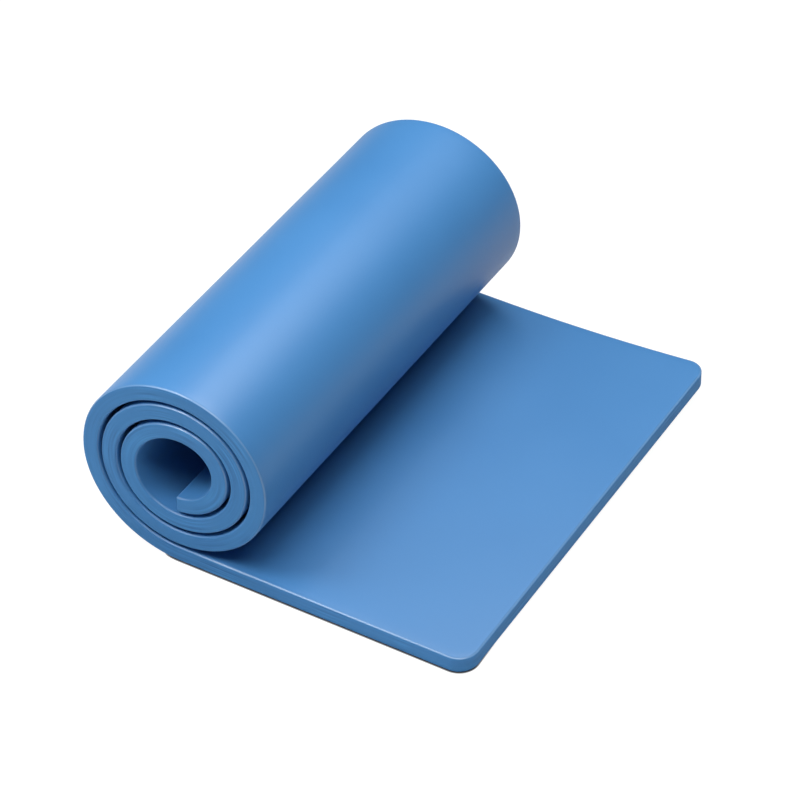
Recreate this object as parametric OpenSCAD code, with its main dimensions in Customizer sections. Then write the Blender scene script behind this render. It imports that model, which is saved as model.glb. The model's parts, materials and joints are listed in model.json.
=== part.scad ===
// Foam sleeping pad, partly rolled up: one slab of closed-cell foam, cut across into strips where it bends.
// X runs along the sheet towards its flat end, Y across its width, and Z up from the ground.
// The origin is on the ground, in the middle of the strip that stays there, under the roll.
// At that strip's -X edge the sheet starts to curl: up, over the top and inwards, in arcs with shared tangents.

/* [Sheet] */
// Width of the pad, along the roll
pad_width = 510; // [300:5:700]
// Thickness of the foam
thickness = 19; // [8:0.5:25]
// Rounding of the long edges and of the free end's edges
edge_radius = 2.5; // [0.5:0.25:3.5]
// Rounding of the free ends' corners, seen from above
corner_radius = 22; // [5:1:35]

/* [Roll] */
// Distance from the roll's middle to the foam, at the inner end of the roll
core_radius = 33; // [28:0.5:80]
// Full turns that the sheet makes in the roll
turns = 3; // [1:1:3]
// Air left between one turn and the next
turn_gap = 3.8; // [1.5:0.1:8]
// How much the roll is out of round: its longest radius less its mean radius
ovality = 3.9; // [0:0.1:5]
// Direction of that longest radius, turned from straight down towards -X
oval_angle = 52; // [0:1:180]

/* [Flat end] */
// Sheet that lies flat, from the start of the roll to the free end
flat_length = 338; // [250:1:600]
// Part of it that stays on the ground under the roll
ground_length = 52; // [30:1:90]

/* [Strips] */
// Strips in each turn of the roll
strips_per_turn = 12; // [8:1:12]
// Strips in the flat end
flat_strips = 7; // [3:1:12]
// Width of the cut between two strips
cut_width = 0.1; // [0.05:0.05:0.3]

/* [Hidden] */
$fn = 96;
FOAM = [0.30, 0.54, 0.79];
FOAM_SHADE = [0.25, 0.48, 0.72];
STRIP_COUNT = turns * strips_per_turn;
STRIP_ANGLE = 360 / strips_per_turn;
PITCH = thickness + turn_gap;
ROLL_RADIUS = core_radius + thickness + turns * PITCH;
FLAT_STRIP_LENGTH = (flat_length - ground_length) / flat_strips;
FREE_CORNER = min(corner_radius, FLAT_STRIP_LENGTH - cut_width);
ROLL_START = -ground_length / 2;
FLAT_START = ground_length / 2;

// Names count from the ground strip outwards, in both directions
function numbered(word, i) = str(word, i < 10 ? "_0" : "_", i);
ROLL_NAMES = [for (i = [1 : STRIP_COUNT]) numbered("roll_strip", i)];
FLAT_NAMES = [for (i = [1 : flat_strips]) numbered("flat_strip", i)];

// Outer radius of arc i, at its middle: a spiral's, with the oval's curvature on top
function arc_turn(i) = (i + 0.5) / strips_per_turn;
function arc_oval(i) = 3 * ovality * cos(2 * ((i + 0.5) * STRIP_ANGLE - oval_angle));
function arc_radius(i) = ROLL_RADIUS - PITCH * arc_turn(i) - arc_oval(i);

// Direction, in X and Z, from an arc's centre to the point where the roll has turned by an angle
function outward(angle) = [-sin(angle), -cos(angle)];

// Centre of arc i: each lies on the line from the last one to the point where the two arcs meet
function arc_centre(i) = i == 0
    ? [ROLL_START, arc_radius(0)]
    : arc_centre(i - 1) + (arc_radius(i - 1) - arc_radius(i)) * outward(i * STRIP_ANGLE);

// Cross-section of the slab: its thickness along X and its width along Y, with rounded corners
module slab_section() {
    inner_t = thickness - 2 * edge_radius;
    inner_w = pad_width - 2 * edge_radius;
    square([inner_t, pad_width], center = true);
    square([thickness, inner_w], center = true);
    for (x = [-1, 1], y = [-1, 1])
        translate([x * inner_t / 2, y * inner_w / 2])
            circle(edge_radius);
}

// Straight slab on the ground, from one X to another
module flat_slab(x_from, x_to) {
    translate([x_from, 0, thickness / 2])
        rotate([0, 90, 0])
            linear_extrude(x_to - x_from)
                slab_section();
}

// Slab bent round the Y axis by an angle, with its outer face at a radius
module bent_slab(radius, angle) {
    rotate_extrude(angle = angle)
        translate([radius - thickness / 2, 0])
            slab_section();
}

// Outline of the slab's free edge, cut square at X = 0 and rounded where it ends
module edge_section(length) {
    translate([0, edge_radius])
        square([length, thickness - 2 * edge_radius]);
    square([length - edge_radius, thickness]);
    for (y = [edge_radius, thickness - edge_radius])
        translate([length - edge_radius, y])
            circle(edge_radius);
}

// Free end of the flat sheet, over the length of its rounded corners, starting at X = 0
module free_end() {
    straight_w = pad_width - 2 * FREE_CORNER;
    translate([0, straight_w / 2, 0])
        rotate([90, 0, 0])
            linear_extrude(straight_w)
                edge_section(FREE_CORNER);
    for (side = [-1, 1])
        translate([0, side * straight_w / 2, 0])
            rotate([0, 0, side > 0 ? 0 : -90])
                rotate_extrude(angle = 90)
                    edge_section(FREE_CORNER);
}

// Strip that stays on the ground, under the roll
module ground_strip() {
    color(FOAM)
        flat_slab(ROLL_START + cut_width / 2, FLAT_START - cut_width / 2);
}

// Strip i of the roll, from 0 at the ground inwards
module roll_strip(i) {
    radius = arc_radius(i);
    centre = arc_centre(i);
    cut_angle = cut_width / 2 / radius * 180 / PI;
    color(i % 2 == 0 ? FOAM_SHADE : FOAM)
        translate([centre.x, 0, centre.y])
            rotate([90, 0, 0])
                rotate([0, 0, cut_angle - 90 - (i + 1) * STRIP_ANGLE])
                    bent_slab(radius, STRIP_ANGLE - 2 * cut_angle);
}

// Strip i of the flat end, from 0 at the ground strip outwards; the last one has the free end
module flat_strip(i) {
    x_from = FLAT_START + i * FLAT_STRIP_LENGTH + cut_width / 2;
    x_to = FLAT_START + (i + 1) * FLAT_STRIP_LENGTH;
    last = i == flat_strips - 1;
    color(i % 2 == 0 ? FOAM_SHADE : FOAM) {
        flat_slab(x_from, last ? x_to - FREE_CORNER : x_to - cut_width / 2);
        if (last)
            translate([x_to - FREE_CORNER, 0, 0])
                free_end();
    }
}

ground_strip();
for (i = [0 : STRIP_COUNT - 1])
    roll_strip(i);
for (i = [0 : flat_strips - 1])
    flat_strip(i);
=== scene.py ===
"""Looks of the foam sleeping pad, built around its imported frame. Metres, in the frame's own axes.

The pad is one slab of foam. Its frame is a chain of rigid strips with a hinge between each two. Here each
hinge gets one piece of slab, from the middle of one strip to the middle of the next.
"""

import json
import math
from types import SimpleNamespace

import bpy
import numpy as np
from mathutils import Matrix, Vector


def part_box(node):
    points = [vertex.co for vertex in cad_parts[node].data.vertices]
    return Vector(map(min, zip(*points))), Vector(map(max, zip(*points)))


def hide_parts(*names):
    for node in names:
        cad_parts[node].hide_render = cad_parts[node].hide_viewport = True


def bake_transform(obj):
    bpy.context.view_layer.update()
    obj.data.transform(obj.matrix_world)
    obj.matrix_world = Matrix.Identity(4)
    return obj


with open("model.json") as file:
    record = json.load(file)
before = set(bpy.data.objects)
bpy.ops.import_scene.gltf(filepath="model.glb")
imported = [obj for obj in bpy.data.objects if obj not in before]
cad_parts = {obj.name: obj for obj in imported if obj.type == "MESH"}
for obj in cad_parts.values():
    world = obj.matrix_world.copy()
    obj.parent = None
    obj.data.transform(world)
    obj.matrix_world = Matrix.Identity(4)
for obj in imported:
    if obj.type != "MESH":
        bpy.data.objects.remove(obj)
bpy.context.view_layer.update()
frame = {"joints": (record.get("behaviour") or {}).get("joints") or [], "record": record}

MM = 0.001

# The slab's section. The edge turns from a face to the cut side: shares of its length, and its turn there.
EDGE_RADIUS = 2.5 * MM
TURN_SHARES = (0.0, 0.2, 0.7, 1.0)
TURN_DEGREES = (0.0, 28.0, 35.0, 90.0)
CORNER_RADIUS = 22 * MM

# How finely the slab is divided. The first and last rows of a piece have a second row this close to them.
ACROSS_STEPS = 48
ROUND_STEPS = 8
SIDE_STEPS = 6
ROW_STEP = 2.6 * MM
END_ROW = 0.25 * MM
CORNER_STEPS = 12

# A tongue on each piece lies inside the next one, and shows where the foam stretches as it bends. Its inner
# face slopes away towards its tip, so that it lies level with the next piece where the roll is flat.
TONGUE_LENGTH = 11 * MM
TONGUE_INSET = 0.03 * MM
TONGUE_SLOPE = (0.07 * MM, 0.65 * MM)
TONGUE_STEPS = 5

# The slab is up to this much thinner on each face, here and there
UNEVENNESS = 0.22 * MM
UNEVEN_SCALE = 9.0

# The far corner of the flat end lifts a little off the ground
CORNER_LIFT = 13.5 * MM
LIFT_START_X = 60 * MM
CURL_POWER = 2.0

# An arc is taken as straight where half its turn, in radians, is less than this
LEAST_TURN = 1e-5

# What each vertex keeps for the foam's finish: its place on the flat sheet, and its share of the edge's turn
SHEET_PLACE = "sheet_place"
EDGE_TURN = "edge_turn"

# Nearly all of a noise lies between these two values
NOISE_LOW = 0.3
NOISE_HIGH = 0.7
COARSE_DETAIL = 1.0
FINE_DETAIL = 2.0

# The foam's colour. A tone of 0 is the dark one, 1 is the light one, and the cut edge is tinted.
EVEN_TONE = 0.5
FOAM_LIGHT = (0.066, 0.238, 0.520, 1.0)
FOAM_DARK = (0.051, 0.195, 0.447, 1.0)
CUT_TINT = (0.68, 0.98, 1.03, 1.0)
PATCH_SCALE = 7.0
PATCH_TONE = 0.12

# Layers are thin through the slab and long in its plane. They show in streaks on the cut edge.
LAYER_SCALE = (9.0, 9.0, 420.0)
LAYER_TONE = 1.5
LAYER_HEIGHT = 0.12 * MM
STREAK_SCALE = 16.0
STREAK_FROM = 0.43
STREAK_TO = 0.65
STREAK_LEAST = 0.15

# The skin's grain and gloss
GRAIN_SCALE = 1400.0
GRAIN_HEIGHT = 0.05 * MM
ROUGHNESS = 0.42
ROUGHNESS_CHANGE = 0.03
CUT_ROUGHNESS = 0.7
FOAM_IOR = 1.5
SHEEN = 0.06
SHEEN_ROUGHNESS = 0.5

# A highlight is painted on the rim. It is palest half way through the edge's turn, and fades out at this
# share of the turn from there
RIM_MIDDLE = 0.5
RIM_REACH = 0.4
RIM_HIGHLIGHT_COLOUR = (0.40, 0.57, 0.78, 1.0)
RIM_HIGHLIGHT_SHARE = 0.3
RIM_ROUGHNESS = 0.22

# Along the sheet, the painted highlight and the smoothness of the sleeping face's rim go from faint inside
# the roll to full on the flat end
RIM_HIGHLIGHT_FADE_FROM = -20 * MM
RIM_HIGHLIGHT_FADE_TO = 30 * MM
RIM_HIGHLIGHT_IN_ROLL = 0.25

# Floor
WHITE = (1.0, 1.0, 1.0, 1.0)
FLOOR_SIDE = 12.0
FLOOR_Z = -0.4 * MM
FLOOR_SHADOW = (0.12, 0.12, 0.12, 1.0)
FLOOR_LIGHT = 0.97
FLOOR_COLOUR = (0.85, 0.85, 0.85, 1.0)
# The floor's painted contact shadow: how far it reaches, and how steeply it darkens
CONTACT_REACH = 2.2 * MM
CONTACT_POWER = 5.0

# Light
WORLD_LIGHT = 0.05
SEEN_WHITE = 1.0
LAMP_TARGET = (0.05, 0.0, 0.1)
LAMPS = [
    # name, place, size, watts
    ("front", (0.45, -0.80, 1.65), (1.3, 0.42), 11.2),
    ("overhead", (0.05, 0.556, 1.812), (1.0, 1.0), 18.4),
    ("overhead_left", (-0.45, 0.556, 1.77), (1.0, 1.0), 5.0),
    ("right", (0.65, 0.45, 1.75), (1.2, 1.0), 4.4),
    ("left", (-1.08, -0.791, 1.257), (0.7, 0.7), 8.1),
    ("edge", (-0.61, -0.76, 1.68), (0.6, 0.25), 8.5),
]

# Camera. Angles are in degrees.
VIEW_TARGET = (0.0747, 0.0135, 0.060)
VIEW_AZIMUTH = 31.65
VIEW_ELEVATION = 40.43
VIEW_DISTANCE = 4.004
VIEW_ROLL = -1.08
LENS = 173.08
SENSOR = 36.0


# ---------------------------------------------------------------- the slab's sizes, from the frame

def joint_place(joint):
    """A hinge's place in X and Z, as an array."""
    x, _, z = joint["pos_m"]
    return np.array([x, z])


def chain(first_name):
    """The joints of one coupled chain, from the ground strip outwards."""
    return [j for j in frame["joints"] if j["name"] == first_name or j["name"].startswith(first_name + "_")]


ground_low, ground_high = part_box("ground_strip")
THICKNESS = ground_high.z - ground_low.z
HALF_WIDTH = (ground_high.y - ground_low.y) / 2
ROLL_JOINTS = chain("unroll")
FLAT_JOINTS = chain("roll_up")
STRIP_ANGLE = math.radians(ROLL_JOINTS[1]["range_deg"][1])
TURN_STRIPS = round(2 * math.pi / STRIP_ANGLE)
FREE_END_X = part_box(frame["record"]["behaviour"]["bodies"][FLAT_JOINTS[-1]["child"]][0])[1].x


def roll_radii():
    """Outer radius of each strip of the roll: its ends are hinges, and it turns through one strip angle."""
    places = [joint_place(j) for j in ROLL_JOINTS]
    chords = [np.linalg.norm(b - a) for a, b in zip(places, places[1:])]
    radii = [c / (2 * math.sin(STRIP_ANGLE / 2)) for c in chords]
    # The last strip has one hinge: it lies a turn inside one that has two, as that one lies inside another
    last = len(radii)
    radii.append(2 * radii[last - TURN_STRIPS] - radii[last - 2 * TURN_STRIPS])
    return radii


# ---------------------------------------------------------------- a flat blank of slab

def edge_profile():
    """The slab's edge, from the outer face to the inner one.

    Each point is a distance out, a depth, and a share of the turn from a face to the cut side. The edge is
    pressed flatter where it faces up and out, and tighter at the cut side.
    """
    shares = np.linspace(0, 1, ROUND_STEPS + 1)
    angles = np.radians(np.interp((shares[1:] + shares[:-1]) / 2, TURN_SHARES, TURN_DEGREES))
    out = np.concatenate([[0], np.cumsum(np.cos(angles))])
    depth = np.concatenate([[0], np.cumsum(np.sin(angles))])
    size = EDGE_RADIUS / out[-1]
    low = list(zip(out * size, depth * size, shares))
    edge_depth = depth[-1] * size
    side = np.linspace(edge_depth, THICKNESS - edge_depth, SIDE_STEPS + 1)[1:-1]
    high = [(o, THICKNESS - d, share) for o, d, share in reversed(low)]
    return low + [(EDGE_RADIUS, d, 1.0) for d in side] + high


def slab_rows(start, stop, corner):
    """Rows across the slab, from start to stop along it.

    A row is its place along, its half width inside the edge's rounding, and the direction, along and across,
    in which that rounding stands out. The first and last rows lie close together, so that the shading meets
    the next piece's. The corner's radius is nought where the slab goes on.
    """
    inner = HALF_WIDTH - EDGE_RADIUS
    straight_stop = stop - corner
    count = math.ceil((straight_stop - start) / ROW_STEP)
    places = list(np.linspace(start, straight_stop, count + 1))
    places.insert(1, start + END_ROW)
    if not corner:
        places.insert(-1, stop - END_ROW)
    rows = [(u, inner, 0.0, 1.0) for u in places]
    inner_radius = corner - EDGE_RADIUS
    corner_rows = range(1, CORNER_STEPS + 1) if corner else ()
    for i in corner_rows:
        a = math.pi / 2 * i / CORNER_STEPS
        along = straight_stop + inner_radius * math.sin(a)
        across = HALF_WIDTH - corner + inner_radius * math.cos(a)
        rows.append((along, across, math.sin(a), math.cos(a)))
    return rows


class Blank:
    """A closed mesh of flat slab, about its hinge.

    Rows run outwards from the ground strip. X runs towards the pad's flat end, Y across, and Z is the depth
    from the outer face, which is the underside where the slab is flat.
    """

    def __init__(self, rows, free=False, towards_roll=False):
        self.points, self.edge = [], []
        self.faces, self.plain = [], []
        self.profile = edge_profile()
        rings = [self.ring(row) for row in rows]
        for a, b in zip(rings, rings[1:]):
            self.bridge(a, b)
        self.cap(rings[0], first=True)
        if free:
            self.free_end(rings[-1], rows[-1])
        else:
            self.tongue(rings[-1], rows[-1])
        if towards_roll:
            self.turn_round()

    def add(self, point, edge=0.0):
        """One more vertex, with its share of the edge's turn."""
        self.points.append(point)
        self.edge.append(edge)
        return len(self.points) - 1

    def ring(self, row, inset=0.0, drop=0.0):
        """Vertices round one row, as its outer face, right edge, inner face and left edge.

        The inner face is lower by drop, and the rest lies inwards by inset.
        """
        u, inner, du, dy = row
        thick = 1 - (inset + drop) / THICKNESS
        wide = 1 - inset / HALF_WIDTH

        def place(y, depth, out=0.0, side=1, edge=0.0):
            across = (y + side * out * dy) * wide
            return self.add((u + out * du, across, inset + depth * thick), edge)

        share = np.linspace(-1, 1, ACROSS_STEPS + 1)
        outer = [place(f * inner, 0) for f in share]
        right = [place(inner, d, o, 1, e) for o, d, e in self.profile[1:-1]]
        inner_face = [place(f * inner, THICKNESS) for f in share]
        left = [place(-inner, d, o, -1, e) for o, d, e in self.profile[1:-1]]
        return SimpleNamespace(outer=outer, right=right, inner=inner_face, left=left)

    def loop(self, ring):
        """A ring's vertices, in order round it."""
        return ring.outer + ring.right + ring.inner[::-1] + ring.left[::-1]

    def bridge(self, a, b, plain=False):
        """The faces from one ring to the next."""
        one, two = self.loop(a), self.loop(b)
        for i in range(len(one)):
            j = (i + 1) % len(one)
            self.face([one[i], one[j], two[j], two[i]], plain)

    def face(self, corners, plain=False):
        """One more face, which is shaded smooth unless it is plain."""
        self.faces.append(corners)
        self.plain.append(plain)

    def cap(self, ring, first):
        """Closes a cut end, with a row of quads and one face at each edge."""
        outer, inner = ring.outer, ring.inner
        parts = [[outer[i], inner[i], inner[i + 1], outer[i + 1]] for i in range(ACROSS_STEPS)]
        parts.append([outer[-1], inner[-1]] + ring.right[::-1])
        parts.append([inner[0], outer[0]] + ring.left)
        for part in parts:
            self.face(part if first else part[::-1], plain=True)

    def tongue(self, ring, row):
        """The tongue that reaches into the next piece, from the last row's ring."""
        place, *section = row
        steps = np.linspace(0, TONGUE_LENGTH, TONGUE_STEPS + 1)
        drops = np.linspace(*TONGUE_SLOPE, TONGUE_STEPS + 1)
        rings = [self.ring((place + step, *section), TONGUE_INSET, drop) for step, drop in zip(steps, drops)]
        for a, b in zip([ring, *rings], rings):
            self.bridge(a, b, plain=True)
        self.cap(rings[-1], first=False)

    def free_end(self, ring, row):
        """The rounded end face, between the last row's two corners."""
        u, inner = row[:2]
        share = np.linspace(-1, 1, ACROSS_STEPS + 1)
        columns = [[ring.outer[0], *ring.left, ring.inner[0]]]
        for i in range(1, ACROSS_STEPS):
            middle = [self.add((u + o, share[i] * inner, d), e) for o, d, e in self.profile[1:-1]]
            columns.append([ring.outer[i], *middle, ring.inner[i]])
        columns.append([ring.outer[-1], *ring.right, ring.inner[-1]])
        for a, b in zip(columns, columns[1:]):
            for i in range(len(a) - 1):
                self.face([a[i], b[i], b[i + 1], a[i + 1]])

    def turn_round(self):
        """Makes the rows run the other way, and keeps the faces outwards."""
        self.points = [(-x, y, z) for x, y, z in self.points]
        self.faces = [f[::-1] for f in self.faces]

    def mesh(self, name):
        mesh = bpy.data.meshes.new(name)
        mesh.from_pydata(self.points, [], self.faces)
        mesh.polygons.foreach_set("use_smooth", [not p for p in self.plain])
        plain_faces = [face for face, plain in zip(mesh.polygons, self.plain) if plain]
        crisp = {key for face in plain_faces for key in face.edge_keys}
        mesh.edges.foreach_set("use_edge_sharp", [edge.key in crisp for edge in mesh.edges])
        mesh.attributes.new(EDGE_TURN, "FLOAT", "POINT").data.foreach_set("value", self.edge)
        mesh.update()
        return mesh


# ---------------------------------------------------------------- node trees

class Tree:
    """Adds nodes to a tree and links them by the names of their inputs and outputs."""

    def __init__(self, tree):
        self.tree = tree

    def node(self, kind, inputs=(), **settings):
        node = self.tree.nodes.new(kind)
        for key, value in settings.items():
            setattr(node, key, value)
        for key, value in dict(inputs).items():
            self.feed(node.inputs[key], value)
        return node

    def feed(self, socket, value):
        """Links a socket to another one, or gives it a value of its own."""
        if isinstance(value, bpy.types.NodeSocket):
            self.tree.links.new(value, socket)
        else:
            socket.default_value = value

    def math(self, operation, *values):
        return self.node("ShaderNodeMath", dict(enumerate(values)), operation=operation).outputs[0]

    def vector(self, x=0.0, y=0.0, z=0.0):
        return self.node("ShaderNodeCombineXYZ", {"X": x, "Y": y, "Z": z}).outputs[0]

    def vector_math(self, operation, *values):
        node = self.node("ShaderNodeVectorMath", dict(enumerate(values)), operation=operation)
        return node.outputs[0]

    def parts(self, vector):
        return self.node("ShaderNodeSeparateXYZ", {"Vector": vector}).outputs

    def ranged(self, value, low, high, to_low, to_high, smooth=False):
        """A value moved from one range to another, and kept inside it."""
        style = "SMOOTHSTEP" if smooth else "LINEAR"
        inputs = {"Value": value, "From Min": low, "From Max": high, "To Min": to_low, "To Max": to_high}
        return self.node("ShaderNodeMapRange", inputs, interpolation_type=style).outputs[0]

    def noise(self, place, scale, detail):
        return self.node("ShaderNodeTexNoise", {"Vector": place, "Scale": scale, "Detail": detail}).outputs[0]

    def colour_mix(self, share, one, two, **settings):
        """One colour that becomes the other as the share grows."""
        node = self.node("ShaderNodeMix", data_type="RGBA", **settings)
        for socket, value in zip(self.colours(node.inputs), (one, two)):
            self.feed(socket, value)
        self.feed(node.inputs["Factor"], share)
        return self.colours(node.outputs)[0]

    def colours(self, sockets):
        return [s for s in sockets if s.type == "RGBA"]

    def to_camera(self, seen, other):
        """One shader for what the camera sees, and another for all else."""
        path = self.node("ShaderNodeLightPath").outputs
        choice = {0: path["Is Camera Ray"], 1: other.outputs[0], 2: seen.outputs[0]}
        return self.node("ShaderNodeMixShader", choice).outputs[0]


SHEET_INPUTS = {
    "Hinge Place": "NodeSocketVector",
    "Tangent Angle": "NodeSocketFloat",
    "Curve Towards Flat": "NodeSocketFloat",
    "Curve Towards Roll": "NodeSocketFloat",
    "Place Along Sheet": "NodeSocketFloat",
    "Thickness": "NodeSocketFloat",
    "Unevenness": "NodeSocketFloat",
    "Uneven Scale": "NodeSocketFloat",
    "Corner Lift": "NodeSocketFloat",
    "Lift Start": "NodeSocketVector",
    "Lift End": "NodeSocketVector",
    "Material": "NodeSocketMaterial",
}


def sheet_tree():
    """Geometry nodes that roll a flat blank up about its hinge.

    The blank's X runs towards the flat end of the pad from the hinge. Each side of the hinge is an arc of its
    own curvature, which is nought where the slab is flat.
    """
    group = bpy.data.node_groups.new("roll_the_sheet", "GeometryNodeTree")
    group.interface.new_socket("Geometry", in_out="INPUT", socket_type="NodeSocketGeometry")
    for name, kind in SHEET_INPUTS.items():
        group.interface.new_socket(name, in_out="INPUT", socket_type=kind)
    group.interface.new_socket("Geometry", in_out="OUTPUT", socket_type="NodeSocketGeometry")

    t = Tree(group)
    given = t.node("NodeGroupInput").outputs
    place = t.node("GeometryNodeInputPosition").outputs[0]
    x, y, depth = t.parts(place)

    along = t.math("ADD", x, given["Place Along Sheet"])
    sheet_place = t.vector(along, y, depth)
    stored = t.node("GeometryNodeStoreNamedAttribute",
                    {"Geometry": given["Geometry"], "Name": SHEET_PLACE, "Value": sheet_place},
                    data_type="FLOAT_VECTOR", domain="POINT")

    # The slab is a little thinner here and there
    spot = t.vector(along, y)
    noise = t.noise(spot, given["Uneven Scale"], COARSE_DETAIL)
    thinner = t.math("MULTIPLY", noise, given["Unevenness"])
    middle = t.math("MULTIPLY", given["Thickness"], 0.5)
    keep = t.math("SUBTRACT", 1.0, t.math("DIVIDE", thinner, middle))
    depth = t.math("MULTIPLY_ADD", t.math("SUBTRACT", depth, middle), keep, middle)

    # One corner of the flat end keeps a little of the roll's curl
    low_x, low_y, _ = t.parts(given["Lift Start"])
    high_x, high_y, _ = t.parts(given["Lift End"])
    share_x = t.ranged(along, low_x, high_x, 0.0, 1.0)
    share_y = t.ranged(y, low_y, high_y, 0.0, 1.0)
    rise = t.math("MULTIPLY", t.math("POWER", share_x, CURL_POWER), share_y)
    depth = t.math("MULTIPLY_ADD", rise, given["Corner Lift"], depth)

    # Chord and turn of the arc from the hinge to this point
    on_flat_side = t.math("GREATER_THAN", x, 0.0)
    curves = {"False": given["Curve Towards Roll"], "True": given["Curve Towards Flat"]}
    curve = t.node("GeometryNodeSwitch", {"Switch": on_flat_side, **curves}, input_type="FLOAT").outputs[0]
    turn = t.math("MULTIPLY", x, curve)
    half = t.math("MULTIPLY", turn, 0.5)
    size = t.math("MAXIMUM", t.math("ABSOLUTE", half), LEAST_TURN)
    chord = t.math("MULTIPLY", x, t.math("DIVIDE", t.math("SINE", size), size))

    def turned(vector, angle):
        return t.node("ShaderNodeVectorRotate", {"Vector": vector, "Angle": angle},
                      rotation_type="Y_AXIS").outputs[0]

    outer = turned(t.vector(chord), t.math("SUBTRACT", given["Tangent Angle"], half))
    inward = turned(t.vector(0.0, 0.0, depth), t.math("SUBTRACT", given["Tangent Angle"], turn))
    rolled = t.vector_math("ADD", t.vector_math("ADD", outer, inward),
                           t.vector_math("ADD", given["Hinge Place"], t.vector(0.0, y)))

    moved = t.node("GeometryNodeSetPosition", {"Geometry": stored.outputs[0], "Position": rolled})
    whole = t.node("GeometryNodeRealizeInstances", {"Geometry": moved.outputs[0]})
    dressed = t.node("GeometryNodeSetMaterial", {"Geometry": whole.outputs[0], "Material": given["Material"]})
    t.node("NodeGroupOutput", {"Geometry": dressed.outputs[0]})
    return group


def roll_up_blank(name, blank, tree, values):
    """The blank's object after the tree, as a plain mesh without a modifier."""
    piece = bpy.data.objects.new(name, blank.mesh(name))
    bpy.context.scene.collection.objects.link(piece)
    modifier = piece.modifiers.new("roll_the_sheet", "NODES")
    modifier.node_group = tree
    sockets = {s.name: s.identifier for s in tree.interface.items_tree if s.in_out == "INPUT"}
    for key, value in values.items():
        modifier[sockets[key]] = value
    seen = piece.evaluated_get(bpy.context.evaluated_depsgraph_get())
    mesh = bpy.data.meshes.new_from_object(seen)
    piece.modifiers.remove(modifier)
    piece.data = mesh
    mesh.name = name
    return piece


# ---------------------------------------------------------------- the foam

def foam_material():
    """Closed-cell foam with a satin skin, faint layers that show on its edges, and a painted highlight on its
    rims.
    """
    material = bpy.data.materials.new("blue_foam")
    material.use_nodes = True
    material.node_tree.nodes.clear()
    t = Tree(material.node_tree)

    place = t.node("ShaderNodeAttribute", attribute_name=SHEET_PLACE).outputs["Vector"]
    layers_at = t.vector_math("MULTIPLY", place, LAYER_SCALE)
    layers = t.noise(layers_at, 1.0, FINE_DETAIL)
    patches = t.noise(place, PATCH_SCALE, FINE_DETAIL)
    grain = t.noise(place, GRAIN_SCALE, FINE_DETAIL)

    # Layers show here and there, on the cut edge
    turned = t.node("ShaderNodeAttribute", attribute_name=EDGE_TURN).outputs["Fac"]
    cut = t.ranged(turned, RIM_MIDDLE, 1.0, 0.0, 1.0, smooth=True)
    spots = t.noise(place, STREAK_SCALE, COARSE_DETAIL)
    streaks = t.math("MULTIPLY", cut, t.ranged(spots, STREAK_FROM, STREAK_TO, STREAK_LEAST, 1.0, smooth=True))
    layer_tone = t.ranged(layers, NOISE_LOW, NOISE_HIGH, -LAYER_TONE, LAYER_TONE)
    patch_tone = t.ranged(patches, NOISE_LOW, NOISE_HIGH, -PATCH_TONE, PATCH_TONE)
    tone = t.math("ADD", t.math("MULTIPLY", streaks, layer_tone), patch_tone)
    colour = t.colour_mix(t.math("ADD", tone, EVEN_TONE), FOAM_DARK, FOAM_LIGHT, clamp_factor=False)
    colour = t.colour_mix(cut, colour, CUT_TINT, blend_type="MULTIPLY")
    smoothest, roughest = ROUGHNESS - ROUGHNESS_CHANGE, ROUGHNESS + ROUGHNESS_CHANGE
    rough = t.ranged(patches, NOISE_LOW, NOISE_HIGH, smoothest, roughest)

    # A paler highlight is painted where the skin turns over an edge, which is smoother there too, and the cut
    # edge is duller
    off_rim = t.math("ABSOLUTE", t.math("SUBTRACT", turned, RIM_MIDDLE))
    rim = t.ranged(off_rim, 0.0, RIM_REACH, 1.0, 0.0, smooth=True)
    along, _, depth = t.parts(place)
    # The painted rim highlight, and the rim's smoothness, are fainter inside the roll on the sleeping face
    rim_highlight_fade = t.ranged(along, RIM_HIGHLIGHT_FADE_FROM, RIM_HIGHLIGHT_FADE_TO, RIM_HIGHLIGHT_IN_ROLL, 1.0, smooth=True)
    rim_highlight_fade = t.math("MAXIMUM", rim_highlight_fade, t.math("LESS_THAN", depth, THICKNESS / 2))
    rim = t.math("MULTIPLY", rim, rim_highlight_fade)
    # Painted highlight: the rim's colour is mixed towards a pale blue
    colour = t.colour_mix(t.math("MULTIPLY", rim, RIM_HIGHLIGHT_SHARE), colour, RIM_HIGHLIGHT_COLOUR)
    rough = t.math("MULTIPLY_ADD", cut, CUT_ROUGHNESS - ROUGHNESS, rough)
    rough = t.node("ShaderNodeMix", {"Factor": rim, "A": rough, "B": RIM_ROUGHNESS}).outputs[0]

    raised = t.math("MULTIPLY", layers, streaks)
    cells = t.node("ShaderNodeBump", {"Height": grain, "Strength": 1.0, "Distance": GRAIN_HEIGHT}).outputs[0]
    skin = t.node("ShaderNodeBump", {
        "Height": raised, "Strength": 1.0, "Distance": LAYER_HEIGHT, "Normal": cells,
    }).outputs[0]
    shader = t.node("ShaderNodeBsdfPrincipled", {
        "Base Color": colour,
        "Roughness": rough,
        "Normal": skin,
        "IOR": FOAM_IOR,
        "Sheen Weight": SHEEN,
        "Sheen Roughness": SHEEN_ROUGHNESS,
        "Sheen Tint": FOAM_LIGHT,
    })
    t.node("ShaderNodeOutputMaterial", {"Surface": shader.outputs[0]})
    return material


def bend(piece):
    """Bakes the piece's place into its mesh.
    """
    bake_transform(piece)


def finish_piece(piece, *nodes):
    """Hides the nodes of the frame that the piece stands for."""
    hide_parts(*nodes)


def node_of(body):
    """The node of the frame that a body carries."""
    return frame["record"]["behaviour"]["bodies"][body][0]


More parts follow.
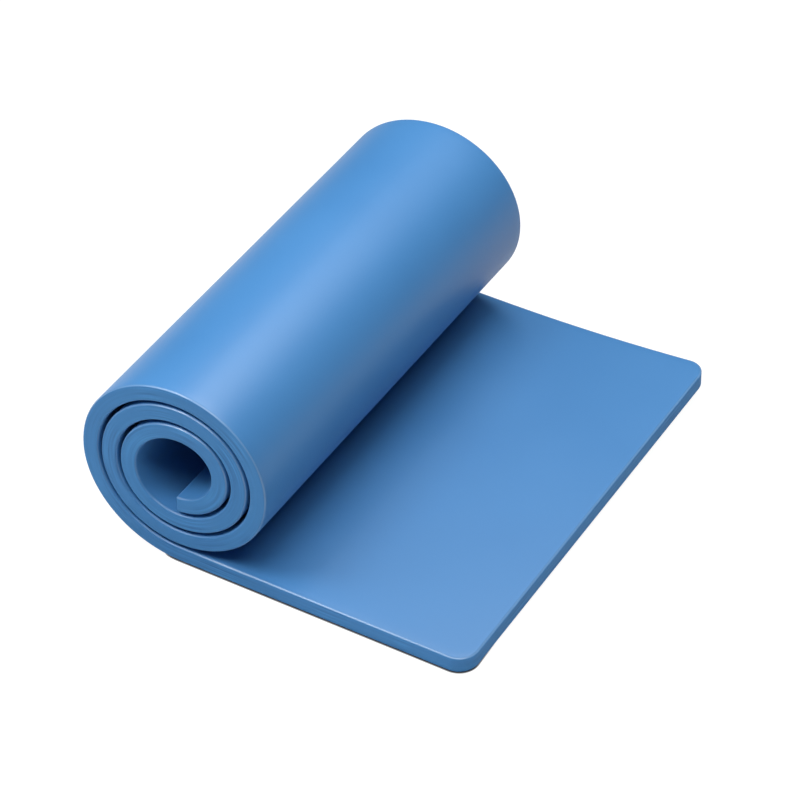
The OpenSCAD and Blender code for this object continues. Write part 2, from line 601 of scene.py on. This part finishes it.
def add_roll(tree, shared):
    """One piece at each hinge of the roll, from the ground strip to the inner end."""
    radii = roll_radii()
    hinges = [joint_place(j) for j in ROLL_JOINTS]
    halves = [r * STRIP_ANGLE / 2 for r in radii]
    last = len(radii) - 1
    along = hinges[0][0]
    for i, joint in enumerate(ROLL_JOINTS):
        angle = i * STRIP_ANGLE
        before = halves[i - 1] if i else -hinges[0][0]
        after = halves[i] * (2 if i == last else 1)
        rows = slab_rows(-before, after, corner=EDGE_RADIUS if i == last else 0)
        blank = Blank(rows, free=i == last, towards_roll=True)
        piece = roll_up_blank(f"roll_foam_{i + 1:02d}", blank, tree, {
            **shared,
            "Hinge Place": (hinges[i][0], 0.0, hinges[i][1]),
            "Tangent Angle": angle,
            "Curve Towards Flat": 1 / radii[i - 1] if i else 0.0,
            "Curve Towards Roll": 1 / radii[i],
            "Place Along Sheet": along,
        })
        if i == 0:
            bend(piece)
        elif i == last:
            bend(piece)
        else:
            bend(piece)
        nodes = [node_of(joint["child"])] + (["ground_strip"] if i == 0 else [])
        finish_piece(piece, *nodes)
        along -= 2 * halves[i]


def add_flat(tree, shared):
    """One piece at each hinge of the flat part, out to its free end."""
    half = (FREE_END_X - joint_place(FLAT_JOINTS[0])[0]) / len(FLAT_JOINTS) / 2
    for i, joint in enumerate(FLAT_JOINTS):
        hinge = joint_place(joint)[0]
        last = i == len(FLAT_JOINTS) - 1
        before = half if i else hinge
        after = half * (2 if last else 1)
        rows = slab_rows(-before, after, corner=CORNER_RADIUS if last else 0)
        blank = Blank(rows, free=last)
        piece = roll_up_blank(f"flat_foam_{i + 1:02d}", blank, tree, {
            **shared,
            "Hinge Place": (hinge, 0.0, 0.0),
            "Tangent Angle": 0.0,
            "Curve Towards Flat": 0.0,
            "Curve Towards Roll": 0.0,
            "Place Along Sheet": hinge,
        })
        if i == 0:
            bend(piece)
        elif last:
            bend(piece)
        else:
            bend(piece)
        finish_piece(piece, node_of(joint["child"]))


# ---------------------------------------------------------------- floor, light and camera

def floor_material():
    """White to the camera, with a trace of shadow and a painted contact shadow under the foam, and pale to
    all else.
    """
    material = bpy.data.materials.new("white_floor")
    material.use_nodes = True
    material.node_tree.nodes.clear()
    t = Tree(material.node_tree)
    shadow = t.node("ShaderNodeBsdfDiffuse", {"Color": FLOOR_SHADOW})
    # Painted contact shadow: the white seen by the camera is darkened where ambient occlusion finds the foam
    # close by
    open_share = t.node("ShaderNodeAmbientOcclusion", {"Distance": CONTACT_REACH}).outputs["AO"]
    strength = t.math("MULTIPLY", t.math("POWER", open_share, CONTACT_POWER), FLOOR_LIGHT)
    light = t.node("ShaderNodeEmission", {"Color": WHITE, "Strength": strength})
    bright = t.node("ShaderNodeAddShader", {0: shadow.outputs[0], 1: light.outputs[0]})
    plain = t.node("ShaderNodeBsdfDiffuse", {"Color": FLOOR_COLOUR})
    t.node("ShaderNodeOutputMaterial", {"Surface": t.to_camera(bright, plain)})
    return material


def add_floor():
    half = FLOOR_SIDE / 2
    corners = [(-half, -half), (half, -half), (half, half), (-half, half)]
    mesh = bpy.data.meshes.new("floor")
    mesh.from_pydata([(x, y, FLOOR_Z) for x, y in corners], [], [(0, 1, 2, 3)])
    mesh.materials.append(floor_material())
    floor = bpy.data.objects.new("floor", mesh)
    bpy.context.scene.collection.objects.link(floor)


def aim(thing, place, target):
    """Puts a lamp or the camera at a place, looking at a target with its head up."""
    thing.location = place
    thing.rotation_euler = (Vector(target) - Vector(place)).to_track_quat("-Z", "Y").to_euler()


def add_lamp(name, place, size, watts):
    lamp = bpy.data.lights.new(name, "AREA")
    lamp.shape = "RECTANGLE"
    lamp.size, lamp.size_y = size
    lamp.energy = watts
    thing = bpy.data.objects.new(name, lamp)
    bpy.context.scene.collection.objects.link(thing)
    aim(thing, place, LAMP_TARGET)


def add_world():
    """An even pale surround, which the camera sees as white."""
    world = bpy.data.worlds.new("surround")
    bpy.context.scene.world = world
    world.use_nodes = True
    world.node_tree.nodes.clear()
    t = Tree(world.node_tree)
    seen = t.node("ShaderNodeBackground", {"Color": WHITE, "Strength": SEEN_WHITE})
    light = t.node("ShaderNodeBackground", {"Color": WHITE, "Strength": WORLD_LIGHT})
    t.node("ShaderNodeOutputWorld", {"Surface": t.to_camera(seen, light)})


def add_camera():
    across, up = math.radians(VIEW_AZIMUTH), math.radians(VIEW_ELEVATION)
    back = Vector((math.sin(across) * math.cos(up), -math.cos(across) * math.cos(up), math.sin(up)))
    data = bpy.data.cameras.new("camera")
    data.lens = LENS
    data.sensor_width = SENSOR
    camera = bpy.data.objects.new("camera", data)
    bpy.context.scene.collection.objects.link(camera)
    aim(camera, Vector(VIEW_TARGET) + back * VIEW_DISTANCE, VIEW_TARGET)
    camera.rotation_euler.rotate_axis("Z", math.radians(VIEW_ROLL))
    bpy.context.scene.camera = camera


bpy.context.scene.view_settings.view_transform = "Standard"
add_camera()
add_world()
for lamp in LAMPS:
    add_lamp(*lamp)
add_floor()

foam_values = {
    "Corner Lift": CORNER_LIFT,
    "Lift Start": (LIFT_START_X, -HALF_WIDTH, 0.0),
    "Lift End": (FREE_END_X, HALF_WIDTH, 0.0),
    "Thickness": THICKNESS,
    "Unevenness": UNEVENNESS,
    "Uneven Scale": UNEVEN_SCALE,
    "Material": foam_material(),
}
rolling = sheet_tree()
add_roll(rolling, foam_values)
add_flat(rolling, foam_values)

bpy.context.view_layer.update()
